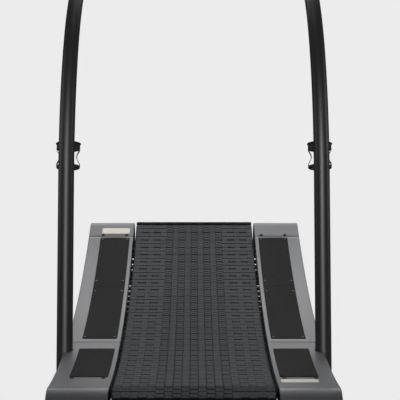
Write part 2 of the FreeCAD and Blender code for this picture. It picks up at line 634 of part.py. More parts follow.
# bent grab bar between the rear legs, for lifting the rear end
hz0 = 92.0
x = LEG_IN
bar = fuse(Part.makeCylinder(11.0, 60, V(x - 12, Y_LEG_R - 20 - 66, hz0), V(0, 1, 0)),
           Part.makeSphere(11.0, V(x - 12, Y_LEG_R - 86, hz0)),
           Part.makeCylinder(11.0, 2 * (x - 12), V(-(x - 12), Y_LEG_R - 86, hz0), V(1, 0, 0)),
           Part.makeSphere(11.0, V(-(x - 12), Y_LEG_R - 86, hz0)),
           Part.makeCylinder(11.0, 60, V(-(x - 12), Y_LEG_R - 86, hz0), V(0, 1, 0)),
           box(x - 26, x, Y_LEG_R - 26, Y_LEG_R + 20, hz0 - 16, hz0 + 16),
           box(-x, -x + 26, Y_LEG_R - 26, Y_LEG_R + 20, hz0 - 16, hz0 + 16))
save("lift_handle", bar)

print("PITCH", PITCH, "N_WF", N_WF, "N_RET", N_RET, "N_WR", N_WR, "R_RET", R_RET)
print("O", (Y_LOW, OZ), "O2", O2, "CF", CF, "CR", CR, "HP", HP, "WH", wc, "up", up, "origin", origin)
print("BAR", BAR, "PE", PE, "cage", cage_y, CAGE_Z, "beta", degrees(beta), "lx", lx)
print("T_R,T_F", T_R, T_F, "PS", PS_R, PS_F, "wraps", degrees(A_F), degrees(A_R), "L/p", L_WF / PITCH, L_RET / PITCH, L_WR / PITCH)
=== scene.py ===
import json
import math
from math import sin, cos, tan, asin, pi, radians, sqrt

import bpy
import bmesh
import numpy as np
from mathutils import Matrix, Vector


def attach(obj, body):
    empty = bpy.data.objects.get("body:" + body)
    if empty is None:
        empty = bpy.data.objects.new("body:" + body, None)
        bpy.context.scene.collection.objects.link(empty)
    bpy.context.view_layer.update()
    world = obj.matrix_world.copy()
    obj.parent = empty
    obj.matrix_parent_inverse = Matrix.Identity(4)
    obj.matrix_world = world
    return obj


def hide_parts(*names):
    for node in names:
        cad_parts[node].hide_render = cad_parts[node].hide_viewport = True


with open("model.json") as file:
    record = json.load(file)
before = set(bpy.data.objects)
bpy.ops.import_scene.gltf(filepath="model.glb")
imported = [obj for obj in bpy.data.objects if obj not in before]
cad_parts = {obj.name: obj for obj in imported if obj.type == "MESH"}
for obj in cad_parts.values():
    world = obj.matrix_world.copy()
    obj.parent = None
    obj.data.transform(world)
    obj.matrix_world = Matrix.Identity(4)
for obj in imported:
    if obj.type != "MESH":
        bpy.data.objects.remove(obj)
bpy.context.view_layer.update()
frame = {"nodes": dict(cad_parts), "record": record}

NODES = frame["nodes"]
MM = 0.001

# ------------------------------------------------------------------ geometry of the machine, mm
R_DECK, Y_LOW, OZ = 3590.0, -158.3, 3830.0
R_TREAD, PD, R_NOSE = 3587.0, 14.0, 82.0
R_PITCH = R_TREAD + PD
R_DR = R_NOSE - PD
N_DECK, N_SLATS = 27, 62
T_R = asin((-806.3 - Y_LOW) / R_TREAD)
T_F = asin((799.2 - Y_LOW) / R_TREAD)
PITCH = (T_F - T_R) * R_PITCH / N_DECK
R_AX = R_PITCH + R_DR


def pol(r, t, cy=Y_LOW, cz=OZ):
    return (cy + r * sin(t), cz - r * cos(t))


def th(y):
    return asin((y - Y_LOW) / R_DECK)


CF, CR = pol(R_AX, T_F), pol(R_AX, T_R)
DIST = math.hypot(CF[0] - CR[0], CF[1] - CR[1])
SLOPE = math.atan2(CF[1] - CR[1], CF[0] - CR[0])


def loop_len(rr):
    psi = 2 * asin(DIST / 2 / (rr - R_DR))
    return (T_F - T_R) * R_PITCH + (2 * pi + (T_F - T_R) - psi) * R_DR + psi * rr


lo_, hi_ = 1500.0, 40000.0
for _ in range(80):
    mid = (lo_ + hi_) / 2
    if loop_len(mid) > N_SLATS * PITCH:
        lo_ = mid
    else:
        hi_ = mid
R_RET = (lo_ + hi_) / 2
half = asin(DIST / 2 / (R_RET - R_DR))
PS_F, PS_R = SLOPE + half, SLOPE - half
O2 = (CF[0] - (R_RET - R_DR) * sin(PS_F), CF[1] + (R_RET - R_DR) * cos(PS_F))
A_F, A_R = pi - PS_F + T_F, pi + PS_R - T_R
L_DECK, L_WF, L_RET, L_WR = N_DECK * PITCH, A_F * R_DR, R_RET * (PS_F - PS_R), A_R * R_DR
N_WF, N_WR = int(L_WF / PITCH + 0.5), int(L_WR / PITCH + 0.5)
N_RET = N_SLATS - N_DECK - N_WF - N_WR


def at(s):
    """Pitch-line point and outward direction at length s from the rear junction."""
    s = s % (N_SLATS * PITCH)
    if s <= L_DECK:
        t = T_R + s / R_PITCH
        y, z = pol(R_PITCH, t)
        return y, z, -sin(t), cos(t)
    s -= L_DECK
    if s <= L_WF:
        g = s / R_DR - T_F
        return CF[0] + R_DR * sin(g), CF[1] + R_DR * cos(g), sin(g), cos(g)
    s -= L_WF
    if s <= L_RET:
        t = PS_F - s / R_RET
        y, z = pol(R_RET, t, *O2)
        return y, z, sin(t), -cos(t)
    s -= L_RET
    g = pi - PS_R + s / R_DR
    return CR[0] + R_DR * sin(g), CR[1] + R_DR * cos(g), sin(g), cos(g)


# ------------------------------------------------------------------ materials
def lin(c):
    return tuple((v / 255 / 12.92) if v / 255 <= 0.04045 else ((v / 255 + 0.055) / 1.055) ** 2.4 for v in c)


def make_mat(name, rgb, rough=0.5, metal=0.0, spec=0.5, big=0.10, big_scale=4.0, fine=0.06, fine_scale=700.0,
             mid=0.0, mid_scale=60.0, bump=0.2, bump_dist=0.0002, rvar=0.08, island=0.0, wear=0.0, wear_rgb=(150, 150, 150),
             coat=0.0, stretch=None, voro=0.0, voro_scale=900.0, top_dark=0.0):
    m = bpy.data.materials.new(name)
    m.use_nodes = True
    nt = m.node_tree
    nt.nodes.clear()
    N, L = nt.nodes.new, nt.links.new
    out = N("ShaderNodeOutputMaterial")
    bs = N("ShaderNodeBsdfPrincipled")
    L(bs.outputs[0], out.inputs[0])
    tc = N("ShaderNodeTexCoord")
    mp = N("ShaderNodeMapping")
    L(tc.outputs["Object"], mp.inputs[0])
    if stretch:
        mp.inputs["Scale"].default_value = stretch

    def noise(scale, detail, mapped=False):
        n = N("ShaderNodeTexNoise")
        n.inputs["Scale"].default_value = scale
        n.inputs["Detail"].default_value = detail
        L((mp if mapped else tc).outputs[0 if mapped else "Object"], n.inputs["Vector"])
        return n.outputs["Fac"]

    def remap(sock, a, b, c, d):
        r = N("ShaderNodeMapRange")
        r.inputs[1].default_value, r.inputs[2].default_value = a, b
        r.inputs[3].default_value, r.inputs[4].default_value = c, d
        L(sock, r.inputs[0])
        return r.outputs[0]

    def mul(a, b):
        q = N("ShaderNodeMath")
        q.operation = "MULTIPLY"
        L(a, q.inputs[0])
        L(b, q.inputs[1])
        return q.outputs[0]

    nb, nf = noise(big_scale, 4.0), noise(fine_scale, 3.0, True)
    v = mul(remap(nb, 0.3, 0.7, 1 - big, 1 + big), remap(nf, 0.3, 0.7, 1 - fine, 1 + fine))
    if mid:
        v = mul(v, remap(noise(mid_scale, 3.0, True), 0.3, 0.7, 1 - mid, 1 + mid))
    ge = N("ShaderNodeNewGeometry")
    if island:
        v = mul(v, remap(ge.outputs["Random Per Island"], 0, 1, 1 - island, 1 + island))
    height = nf
    if voro:
        vo = N("ShaderNodeTexVoronoi")
        vo.inputs["Scale"].default_value = voro_scale
        L(tc.outputs["Object"], vo.inputs["Vector"])
        v = mul(v, remap(vo.outputs["Distance"], 0.0, 0.7, 1 + voro, 1 - voro))
        height = vo.outputs["Distance"]
    sc = N("ShaderNodeVectorMath")
    sc.operation = "SCALE"
    sc.inputs[0].default_value = lin(rgb)
    L(v, sc.inputs["Scale"])
    colour = sc.outputs[0]
    if wear:
        mx = N("ShaderNodeMix")
        mx.data_type = "RGBA"
        L(mul(remap(ge.outputs["Pointiness"], 0.515, 0.60, 0, wear), remap(nb, 0.35, 0.6, 0.4, 1.0)), mx.inputs["Factor"])
        L(colour, mx.inputs[6])
        mx.inputs[7].default_value = (*lin(wear_rgb), 1)
        colour = mx.outputs[2]
    L(colour, bs.inputs["Base Color"])
    L(remap(mul(remap(nb, 0.3, 0.7, 0.8, 1.2), remap(nf, 0.3, 0.7, 0.85, 1.15)), 0.6, 1.4, rough - rvar, rough + rvar), bs.inputs["Roughness"])
    bs.inputs["Metallic"].default_value = metal
    bs.inputs["Specular IOR Level"].default_value = spec
    if coat:
        bs.inputs["Coat Weight"].default_value = coat
        bs.inputs["Coat Roughness"].default_value = 0.08
    bp = N("ShaderNodeBump")
    bp.inputs["Strength"].default_value = bump
    bp.inputs["Distance"].default_value = bump_dist
    L(height, bp.inputs["Height"])
    L(bp.outputs[0], bs.inputs["Normal"])
    return m


M = {
    "cover": make_mat("cover_paint_satin", (113, 114, 117), 0.40, 0.15, 0.5, big=0.05, fine=0.035, fine_scale=1400, mid=0.03, mid_scale=90, bump=0.12, bump_dist=0.00008, rvar=0.06, wear=0.35, wear_rgb=(175, 176, 180)),
    "frame": make_mat("frame_powder_coat", (46, 46, 48), 0.48, 0.0, 0.5, fine=0.12, fine_scale=900, mid=0.06, bump=0.35, bump_dist=0.00015, wear=0.4, wear_rgb=(105, 105, 108)),
    "tube": make_mat("tube_satin_black", (24, 24, 25), 0.47, 0.0, 0.55, big=0.08, fine=0.08, fine_scale=1100, bump=0.16, bump_dist=0.00008, rvar=0.05),
    "tread": make_mat("tread_rubber_top", (69, 71, 75), 0.80, 0.0, 0.3, big=0.08, big_scale=5, fine=0.22, fine_scale=1300, mid=0.24, mid_scale=170, bump=0.5, bump_dist=0.0003, rvar=0.07, island=0.10, wear=0.15, wear_rgb=(104, 106, 110)),
    # tread groove floor: near-black, painted shade in the recesses between the raised pads
    "tread_groove_painted_shade": make_mat("tread_groove_rubber_painted_shade", (9, 9, 10), 0.88, 0.0, 0.2, big=0.15, fine=0.15, fine_scale=900, bump=0.4),
    "belt": make_mat("belt_rubber_black", (38, 38, 38), 0.8, 0.0, 0.3, fine=0.14, fine_scale=1200, bump=0.5, bump_dist=0.0003),
    # aluminium slats given a dark finish: painted shade for the slats seen in the gaps between the treads
    "alu": make_mat("slat_painted_shade_dark", (44, 44, 46), 0.62, 0.5, 0.3, fine=0.12, fine_scale=300, stretch=(0.05, 4, 4), bump=0.25, bump_dist=0.0001, wear=0.15, wear_rgb=(90, 90, 92)),
    "grit": make_mat("grip_pad_grit", (43, 43, 42), 0.92, 0.0, 0.25, big=0.08, big_scale=9, fine=0.6, fine_scale=700, mid=0.34, mid_scale=260, bump=1.0, bump_dist=0.0006, voro=0.18, voro_scale=1300),
    "steel": make_mat("bright_steel", (176, 177, 180), 0.28, 1.0, 0.5, fine=0.10, fine_scale=500, stretch=(1, 1, 6), bump=0.12, bump_dist=0.0001, wear=0.2, wear_rgb=(225, 225, 228)),
    "screw": make_mat("pad_screw_steel", (120, 120, 122), 0.42, 1.0, 0.5, fine=0.14, fine_scale=900, bump=0.15, bump_dist=0.0001, island=0.25),
    # near-black: the deck rollers' own tone, and painted shade for the steel axles and drum bearings that also take
    # this material below
    "roller": make_mat("roller_axle_painted_shade_dark", (26, 26, 28), 0.6, 0.0, 0.25, fine=0.2, fine_scale=500, bump=0.2, island=0.7),
    "bolt": make_mat("black_oxide", (8, 8, 9), 0.55, 0.0, 0.25, fine=0.15, fine_scale=1500, bump=0.2, wear=0.5, wear_rgb=(110, 110, 112)),
    "plate": make_mat("blank_plate_brushed", (240, 236, 222), 0.5, 0.1, 0.4, big=0.03, fine=0.06, fine_scale=700, stretch=(0.06, 3, 3), bump=0.15, bump_dist=0.0001),
    "foam": make_mat("hand_grip_rubber", (34, 34, 35), 0.82, 0.0, 0.3, big=0.10, fine=0.2, fine_scale=1100, mid=0.08, mid_scale=160, bump=0.6, bump_dist=0.0004, wear=0.25, wear_rgb=(70, 70, 71)),
    "plastic": make_mat("black_plastic_textured", (34, 34, 35), 0.52, 0.0, 0.45, fine=0.12, fine_scale=1600, bump=0.4, bump_dist=0.00015, wear=0.3, wear_rgb=(84, 84, 86)),
    "lens": make_mat("display_lens_dark", (12, 14, 17), 0.10, 0.0, 0.6, big=0.15, fine=0.04, fine_scale=400, bump=0.02, rvar=0.03, coat=0.8),
    "button": make_mat("button_plastic_grey", (120, 123, 128), 0.42, 0.0, 0.5, fine=0.06, fine_scale=1400, bump=0.2, wear=0.3, wear_rgb=(170, 172, 176)),
    "pcb": make_mat("circuit_board", (28, 70, 44), 0.5, 0.0, 0.5, fine=0.15, fine_scale=500),
    "wheel": make_mat("wheel_plastic_grey", (58, 58, 60), 0.6, 0.0, 0.4, fine=0.12, fine_scale=1200, bump=0.35, wear=0.3, wear_rgb=(110, 110, 112)),
    "pulley": make_mat("pulley_plastic", (44, 44, 46), 0.5, 0.0, 0.4, fine=0.1, fine_scale=1000, bump=0.3),
    "digit": make_mat("lcd_digit", (150, 170, 160), 0.5, 0.0, 0.4, fine=0.03, fine_scale=900),
}

# ------------------------------------------------------------------ mesh helpers
def mesh_obj(name, V, F, mats, body, slot=None, rep=(), angle=30.0, idx=None, smooth=True):
    me = bpy.data.meshes.new(name)
    me.from_pydata([tuple(c * MM for c in p) for p in V], [], [tuple(f) for f in F])
    mats = mats if isinstance(mats, (list, tuple)) else [mats]
    for q in mats:
        me.materials.append(q)
    if idx is not None:
        me.polygons.foreach_set("material_index", idx)
    bm = bmesh.new()
    bm.from_mesh(me)
    bmesh.ops.recalc_face_normals(bm, faces=bm.faces)
    if smooth:
        for f in bm.faces:
            f.smooth = True
        lim = radians(angle)
        for e in bm.edges:
            if len(e.link_faces) == 2 and e.calc_face_angle(0) > lim:
                e.smooth = False
    bm.to_mesh(me)
    bm.free()
    ob = bpy.data.objects.new(name, me)
    bpy.context.scene.collection.objects.link(ob)
    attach(ob, body)
    if rep:
        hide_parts(*rep)
    return ob


class Mesh:
    """Collects closed shells."""
    def __init__(self):
        self.V, self.F, self.I = [], [], []

    def add(self, V, F, mi=0):
        n = len(self.V)
        self.V += [tuple(p) for p in V]
        self.F += [tuple(i + n for i in f) for f in F]
        self.I += [mi] * len(F)

    def loft(self, rings, closed=False, mi=0):
        n, m = len(rings[0]), len(rings)
        V = [p for r in rings for p in r]
        F = []
        for i in range(m if closed else m - 1):
            j = (i + 1) % m
            for k in range(n):
                l = (k + 1) % n
                F.append((i * n + k, i * n + l, j * n + l, j * n + k))
        if not closed:
            F.append(tuple(range(n - 1, -1, -1)))
            F.append(tuple((m - 1) * n + k for k in range(n)))
        self.add(V, F, mi)

    def mirrored(self):
        q = Mesh()
        q.add([(-x, y, z) for x, y, z in self.V], [tuple(reversed(f)) for f in self.F])
        q.I = list(self.I)
        return q

    def both(self):
        n = len(self.V)
        self.V += [(-x, y, z) for x, y, z in self.V]
        self.F += [tuple(i + n for i in reversed(f)) for f in self.F]
        self.I += self.I
        return self

    def obj(self, name, mats, body, **kw):
        many = isinstance(mats, (list, tuple))
        return mesh_obj(name, self.V, self.F, mats, body, idx=self.I if many else None, **kw)


def lathe(M_, prof, o, ax, ref, seg=40, closed=True, hexes=(), mi=0):
    """Revolves (r, h) points about the axis; those in hexes take a hexagonal outline. closed: the profile is a loop, else its ends meet the axis."""
    o, ax = Vector(o), Vector(ax).normalized()
    a = Vector(ref)
    a = (a - ax * a.dot(ax)).normalized()
    b = ax.cross(a)
    rings = []
    for k in range(seg):
        f = 2 * pi * k / seg
        hexr = cos(pi / 6) / cos((f % (pi / 3)) - pi / 6)
        rings.append([tuple(o + (a * cos(f) + b * sin(f)) * (r * (hexr if i in hexes else 1)) + ax * h) for i, (r, h) in enumerate(prof)])
    if closed:
        M_.loft(rings, closed=True, mi=mi)
        return
    # open profile: the first and last points lie on the axis
    n = len(prof)
    V = [tuple(o + ax * prof[0][1]), tuple(o + ax * prof[-1][1])] + [p for r in rings for p in r[1:-1]]
    w = n - 2
    F = []
    for k in range(seg):
        l = (k + 1) % seg
        F.append((0, 2 + l * w, 2 + k * w))
        F.append((1, 2 + k * w + w - 1, 2 + l * w + w - 1))
        for i in range(w - 1):
            F.append((2 + k * w + i, 2 + l * w + i, 2 + l * w + i + 1, 2 + k * w + i + 1))
    M_.add(V, F, mi)


# ------------------------------------------------------------------ treads
def tri(u):
    """+1 at whole u, -1 halfway between."""
    u = abs((u + 1) % 2 - 1)
    return 1 - 2 * u


HALF = PITCH / 6.0           # half of a hexagon's length along the belt
GR, CH, TOP, LOW = 1.3, 0.5, PD, 11.1


def tread_cells():
    """One slat's raised pads, as closed shells in (x, v, z), z = distance from the pitch line."""
    q = Mesh()
    cols = [(22.4508 * i, i % 2 != 0) for i in range(-9, 10)]

    def cell(xc, v0, v1, shift, wf, e0, e1):
        knots = {v0, v1}
        k = -8
        while k < 9:
            for vv in (shift + k * HALF,):
                if v0 + 0.8 < vv < v1 - 0.8:
                    knots.add(vv)
            k += 1
        for vv in (-22.0, -17.5, -9.0, -4.5, 4.5, 9.0, 17.5, 22.0):
            if wf and v0 + 0.8 < vv < v1 - 0.8:
                knots.add(vv)
        vs = sorted(knots)
        L_, R_ = [], []
        for v in vs:
            hw = 11.2254 + 2.0 * tri((v - shift) / HALF)
            w = 1.0 if not wf else max(0.0, min(1.0, (abs(v) - 17.5) / 4.5), min(1.0, (9.0 - abs(v)) / 4.5) if e0 else 0.0)
            xl, xr = xc - hw + GR * w, xc + hw - GR * w
            xl, xr = max(xl, -215.4), min(xr, 215.4)
            L_.append((xl, v, w))
            R_.append((xr, v, w))
        rings = []
        for z, c in ((LOW, 0.0), (TOP - CH, 0.0), (TOP, CH)):
            ring = []
            for i, (x, v, w) in enumerate(L_):
                dv = (c if i == 0 else -c if i == len(L_) - 1 else 0)
                ring.append((x + c * max(w, 0.05), v + dv, z))
            for i in range(len(R_) - 1, -1, -1):
                x, v, w = R_[i]
                dv = (c if i == 0 else -c if i == len(R_) - 1 else 0)
                ring.append((x - c * max(w, 0.05), v + dv, z))
            rings.append(ring)
        q.loft(rings)

    for xc, odd in cols:
        side = abs(xc) > 104
        end = 29.2 if odd else 26.0
        if not side:
            if not odd:
                for c in (-2, 0, 2):
                    a, b = (c - 1) * HALF + 1.9, (c + 1) * HALF - 1.9
                    cell(xc, max(a, -end), min(b, end), 0.0, False, 0, 0)
            else:
                for a, b in ((-3, -2), (-2, 0), (0, 2), (2, 3)):
                    cell(xc, max(a * HALF + 1.0 * (a != -3), -end), min(b * HALF - 1.0 * (b != 3), end), HALF, False, 0, 0)
        else:
            sh = HALF if odd else 0.0
            cut = 1.9 if odd else 1.6
            cell(xc, -end, -cut, sh, True, odd, odd)
            cell(xc, cut, end, sh, True, odd, odd)
    return q


CELL = tread_cells()
cv = np.array(CELL.V, float)
W2 = (PITCH - 2.8) / 2
base = Mesh()
pr = [(-216, 6.15), (-216, 10.9), (-215.4, 11.5), (215.4, 11.5), (216, 10.9), (216, 6.15)]
base.loft([[(x, v, z) for x, z in pr] for v in (-W2, W2)])
bv = np.array(base.V, float)


def to_world(a, s):
    y, z, uy, uz = at(s)
    r = np.empty_like(a)
    r[:, 0] = a[:, 0]
    r[:, 1] = y + a[:, 1] * uz + a[:, 2] * uy
    r[:, 2] = z - a[:, 1] * uy + a[:, 2] * uz
    return r


runs = {"deck": (0, N_DECK, "belt_deck_run"), "front_wrap": (N_DECK, N_WF, "belt_front_wrap"),
        "return": (N_DECK + N_WF, N_RET, "belt_return_run"), "rear_wrap": (N_DECK + N_WF + N_RET, N_WR, "belt_rear_wrap")}
for g, (k0, n, body) in runs.items():
    q = Mesh()
    for k in range(n):
        s = (k0 + k + 0.5) * PITCH
        q.add(to_world(cv, s).tolist(), CELL.F, 0)
        # the slat base between the pads takes the near-black groove material: painted shade in the grooves
        q.add(to_world(bv, s).tolist(), base.F, 1)
    q.obj("tread_pads_" + g, [M["tread"], M["tread_groove_painted_shade"]], body, slot="tread_rubber", rep=(g + "_treads",), angle=20)

# ------------------------------------------------------------------ side covers
def rear_path():
    p = []
    for k in range(39):
        g = -T_R - radians(152) * (1 - k / 38)
        p.append((CR[0] + 79 * sin(g), CR[1] + 79 * cos(g), sin(g), cos(g), 3.02))
    t1 = th(613 - 841.3) - 2.1 / R_DECK
    for k in range(1, 41):
        t = T_R + (t1 - T_R) * k / 40
        p.append((*pol(R_DECK, t), -sin(t), cos(t), min(20.0, 3.02 + 2.5 * k * 1.2)))
    return p


def main_path():
    t0, t1 = th(613 - 841.3) + 2.1 / R_DECK, th(1560 - 841.3) - 2.1 / R_DECK
    return [(*pol(R_DECK, t), -sin(t), cos(t), 20.0) for t in np.linspace(t0, t1, 56)]


def front_path():
    t0 = th(1560 - 841.3) + 2.1 / R_DECK
    p = [(*pol(R_DECK, t), -sin(t), cos(t), max(3.02, 20.0 - 1.6 * i)) for i, t in enumerate(np.linspace(t0, T_F, 14))]
    for k in range(1, 39):
        g = -T_F + radians(150) * k / 38
        p.append((CF[0] + 79 * sin(g), CF[1] + 79 * cos(g), sin(g), cos(g), 3.02))
    return p


def cover_mesh(path):
    q = Mesh()
    # short extra stations near both ends give the seam a soft edge
    def lerp(a, b, mm):
        d = math.hypot(b[0] - a[0], b[1] - a[1])
        f = mm / d
        return tuple(a[i] + (b[i] - a[i]) * f for i in range(5))
    path = [path[0], lerp(path[0], path[1], 0.35), lerp(path[0], path[1], 1.0), lerp(path[0], path[1], 2.0)] + path[1:-1] + \
        [lerp(path[-1], path[-2], 2.0), lerp(path[-1], path[-2], 1.0), lerp(path[-1], path[-2], 0.35), path[-1]]
    rings = []
    for i, (y, z, ny, nz, lip) in enumerate(path):
        d = {0: 1.25, 1: 0.72, 2: 0.28, 3: 0.0}.get(min(i, len(path) - 1 - i), 0.0)
        sec = [(225.0, -lip), (225.0, -1.9 - d * 0.5), (225.35, -0.95 - d * 0.7), (226.0, -0.35 - d), (227.0, -d), (240.0, -d), (300.0, -d), (360.0, -d),
               (385.9, -d), (387.2, -0.3 - d), (388.2, -0.9 - d * 0.7), (388.8, -1.8 - d * 0.5), (389.0, -3.0), (300.0, -3.0), (227.5, -3.0), (227.5, -lip)]
        rings.append([(x, y + h * ny, z + h * nz) for x, h in sec])
    q.loft(rings)
    return q


LEAN = radians(17.5)
TD = Vector((0, sin(LEAN), cos(LEAN)))


def tube_y(z):
    return -269.3 + (z - 386.0) * tan(LEAN)


def cut_slot(ob, side):
    """Removes the slanted, open-sided slot round the upright."""
    c = Mesh()
    z0 = 120.0
    o = Vector((388.0 * side, tube_y(z0), z0))
    prof = []
    n = Vector((0, cos(LEAN), -sin(LEAN)))
    for k in range(33):
        a = pi / 2 + pi * k / 32
        prof.append((cos(a) * 26.65, sin(a) * 26.65))
    prof += [(40, -26.65), (40, 26.65)]
    c.loft([[tuple(o + Vector((px * side, 0, 0)) + n * py + TD * h) for px, py in prof] for h in (0, 250)])
    me = bpy.data.meshes.new("cut")
    me.from_pydata([tuple(v * MM for v in p) for p in c.V], [], c.F)
    bm = bmesh.new(); bm.from_mesh(me); bmesh.ops.recalc_face_normals(bm, faces=bm.faces); bm.to_mesh(me); bm.free()
    co = bpy.data.objects.new("cut", me)
    bpy.context.scene.collection.objects.link(co)
    md = ob.modifiers.new("slot", "BOOLEAN")
    md.operation, md.object, md.solver = "DIFFERENCE", co, "EXACT"
    dg = bpy.context.evaluated_depsgraph_get()
    new = bpy.data.meshes.new_from_object(ob.evaluated_get(dg), depsgraph=dg)
    ob.modifiers.clear()
    ob.data = new
    bpy.data.objects.remove(co)


for part, path in (("rear", rear_path()), ("main", main_path()), ("front", front_path())):
    q = cover_mesh(path)
    for side, nm, m_ in ((1, "right", q), (-1, "left", q.mirrored())):
        ob = m_.obj("cover_%s_%s" % (part, nm), M["cover"], "frame", slot="cover_paint", rep=("%s_cover_%s" % (part, nm),), angle=35)
        if part == "rear":
            cut_slot(ob, side)

# ------------------------------------------------------------------ grip pads
PX0, PX1 = 237.5, 344.5


def grip_pad(q, ya, yb, r=4.5):
    L = yb - ya
    st = []
    for k in range(9):
        a = pi / 2 * k / 8
        st.append((r * (1 - cos(a)), r * (1 - sin(a))))
    n = max(8, int(L / 14))
    ss = st + [(r + (L - 2 * r) * k / n, 0.0) for k in range(1, n)] + [(L - s, i) for s, i in reversed(st)]
    rings = []
    for s, ins in ss:
        y = ya + s
        t = th(y)
        e = min(s, L - s)
        d = 0.6 * max(0.0, 1 - e / 0.9)
        xs = [(0, 0.06), (0, 1.55), (0.35, 2.05), (1.0, 2.28), (30, 2.3), (77, 2.3), (106, 2.28), (106.65, 2.05), (107, 1.55), (107, 0.06)]
        ring = []
        for x, h in xs:
            f = (x / 107.0)
            xx = PX0 + ins + (107.0 - 2 * ins) * f
            hh = h if h < 0.1 else h - d
            yy, zz = pol(R_DECK - hh, t)
            ring.append((xx, yy, zz))
        rings.append(ring)
    q.loft(rings)


q = Mesh()
PADS = [(650 - 841.3, 1146.7 - 841.3), (1147.3 - 841.3, 1547 - 841.3), (190 - 841.3, 536 - 841.3)]
for ya, yb in PADS:
    grip_pad(q, ya, yb)
q.both().obj("grit_grip_pads", M["grit"], "frame", slot="grip_pad", rep=("grip_pads",), angle=35)

# screws with a hex socket in the pads, and the cover bolts
q = Mesh()
for (ya, yb), ina, inb in zip(PADS, (12, 44, 12), (44, 12, 12)):
    # the short pad's screws take the black fastener material instead of steel: painted shade for their dark look
    short = ya < -500
    for y in (ya + ina, yb - inb):
        for x in (PX0 + 8, PX1 - 8):
            t = th(y)
            o = (x, *pol(R_DECK, t))
            lathe(q, [(0, 2.32), (3.2, 2.32), (3.6, 2.55), (3.6, 3.0), (3.2, 3.45), (2.6, 3.62), (1.75, 3.62), (1.6, 2.75), (0, 2.75)], o, (0, -sin(t), cos(t)), (1, 0, 0), seg=24, closed=False, hexes=(6, 7), mi=1 if short else 0)
q.both().obj("pad_screw_heads", [M["screw"], M["bolt"]], "frame", slot="steel", rep=("pad_screws",), angle=40)
q = Mesh()
for y in (175 - 841.3, 727.0):
    for x in (249.0, 336.0):
        t = th(y)
        lathe(q, [(0, 0.06), (6.3, 0.06), (6.5, 0.3), (6.5, 0.9), (5.6, 2.0), (4.4, 2.55), (3.1, 2.62), (2.9, 0.9), (0, 0.9)], (x, *pol(R_DECK, t)), (0, -sin(t), cos(t)), (1, 0, 0), seg=36, closed=False, hexes=(6, 7))
q.both().obj("cover_bolt_heads", M["bolt"], "frame", slot="black_fastener", rep=("cover_bolts",), angle=40)

# blank plates: thin rounded rectangles with four small rivets
q, rv = Mesh(), Mesh()
for x, y in ((288.0, 135 - 841.3), (-290.0, 757.5)):
    t = th(y)
    cy, cz = pol(R_DECK, t)
    up, fw = Vector((0, -sin(t), cos(t))), Vector((0, cos(t), sin(t)))
    o = Vector((x, cy, cz))
    out = []
    for cx, cc, a0 in ((48, 19, 0), (-48, 19, 90), (-48, -19, 180), (48, -19, 270)):
        for k in range(7):
            a = radians(a0 + 15 * k)
            out.append((cx + 3 * cos(a), cc + 3 * sin(a)))
    def ring(h, ins):
        return [tuple(o + Vector((px * (1 - ins / 51), 0, 0)) + fw * (py * (1 - ins / 22)) + up * h) for px, py in out]
    q.loft([ring(0.12, 0), ring(1.1, 0), ring(1.42, 0.4)])
    for px in (-46, 46):
        for py in (-17, 17):
            lathe(rv, [(0, 1.40), (1.7, 1.40), (1.7, 1.6), (1.2, 1.95), (0, 2.1)], tuple(o + Vector((px, 0, 0)) + fw * py), up, (1, 0, 0), seg=16, closed=False)
pl = q.obj("blank_plate_pair", M["plate"], "frame", slot="plate", rep=("blank_plates",), angle=30)
rv.obj("blank_plate_rivets", M["steel"], "frame", slot="steel", angle=40)

# ------------------------------------------------------------------ handrail
TR_, TX = 24.15, 388.0
d0 = Vector((0, sin(LEAN), cos(LEAN)))
y_b = -269.3 + (740.0 - 386.0) * tan(LEAN)
CB = (y_b + cos(LEAN) * 800.0, 740.0 - sin(LEAN) * 800.0)
LE = radians(80.0)
PE = (CB[0] - cos(LE) * 800.0, CB[1] + sin(LE) * 800.0)
DV = Vector((0, sin(LE), cos(LE)))
PG = (PE[0] + 205.0 * DV.y, PE[1] + 205.0 * DV.z)
BAR = (PG[0] + 110.0 * DV.y, PG[1] + 110.0 * DV.z)
pts = [(Vector((TX, tube_y(144.0), 144.0)), d0.copy(), Vector((0, cos(LEAN), -sin(LEAN))))]
for z in (300, 450, 600, 740):
    pts.append((Vector((TX, tube_y(z), z)), d0.copy(), Vector((0, cos(LEAN), -sin(LEAN)))))
for k in range(1, 49):
    a = LEAN + (LE - LEAN) * k / 48
    pts.append((Vector((TX, CB[0] - cos(a) * 800.0, CB[1] + sin(a) * 800.0)), Vector((0, sin(a), cos(a))), Vector((0, cos(a), -sin(a)))))
NA = Vector((0, cos(LE), -sin(LE)))
pts.append((Vector((TX, *PG)), DV.copy(), NA))
for k in range(1, 19):
    a = pi / 2 * k / 18
    c = Vector((TX - 110.0, *PG))
    pts.append((c + Vector((110 * cos(a), 0, 0)) + DV * (110 * sin(a)), DV * cos(a) + Vector((-sin(a), 0, 0)), NA))
pts.append((Vector((0, *BAR)), Vector((-1, 0, 0)), NA))
full = pts + [(Vector((-p.x, p.y, p.z)), Vector((t.x, -t.y, -t.z)), a) for p, t, a in reversed(pts[:-1])]
q = Mesh()
SEG = 56
rings = []
for p, t, a in full:
    b = a.cross(t)
    rings.append([tuple(p + (a * cos(2 * pi * k / SEG) + b * sin(2 * pi * k / SEG)) * TR_) for k in range(SEG)])
q.loft(rings)
q.obj("handrail_bent_tube", M["tube"], "frame", slot="tube_paint", rep=("handrail_right", "handrail_left"), angle=40)

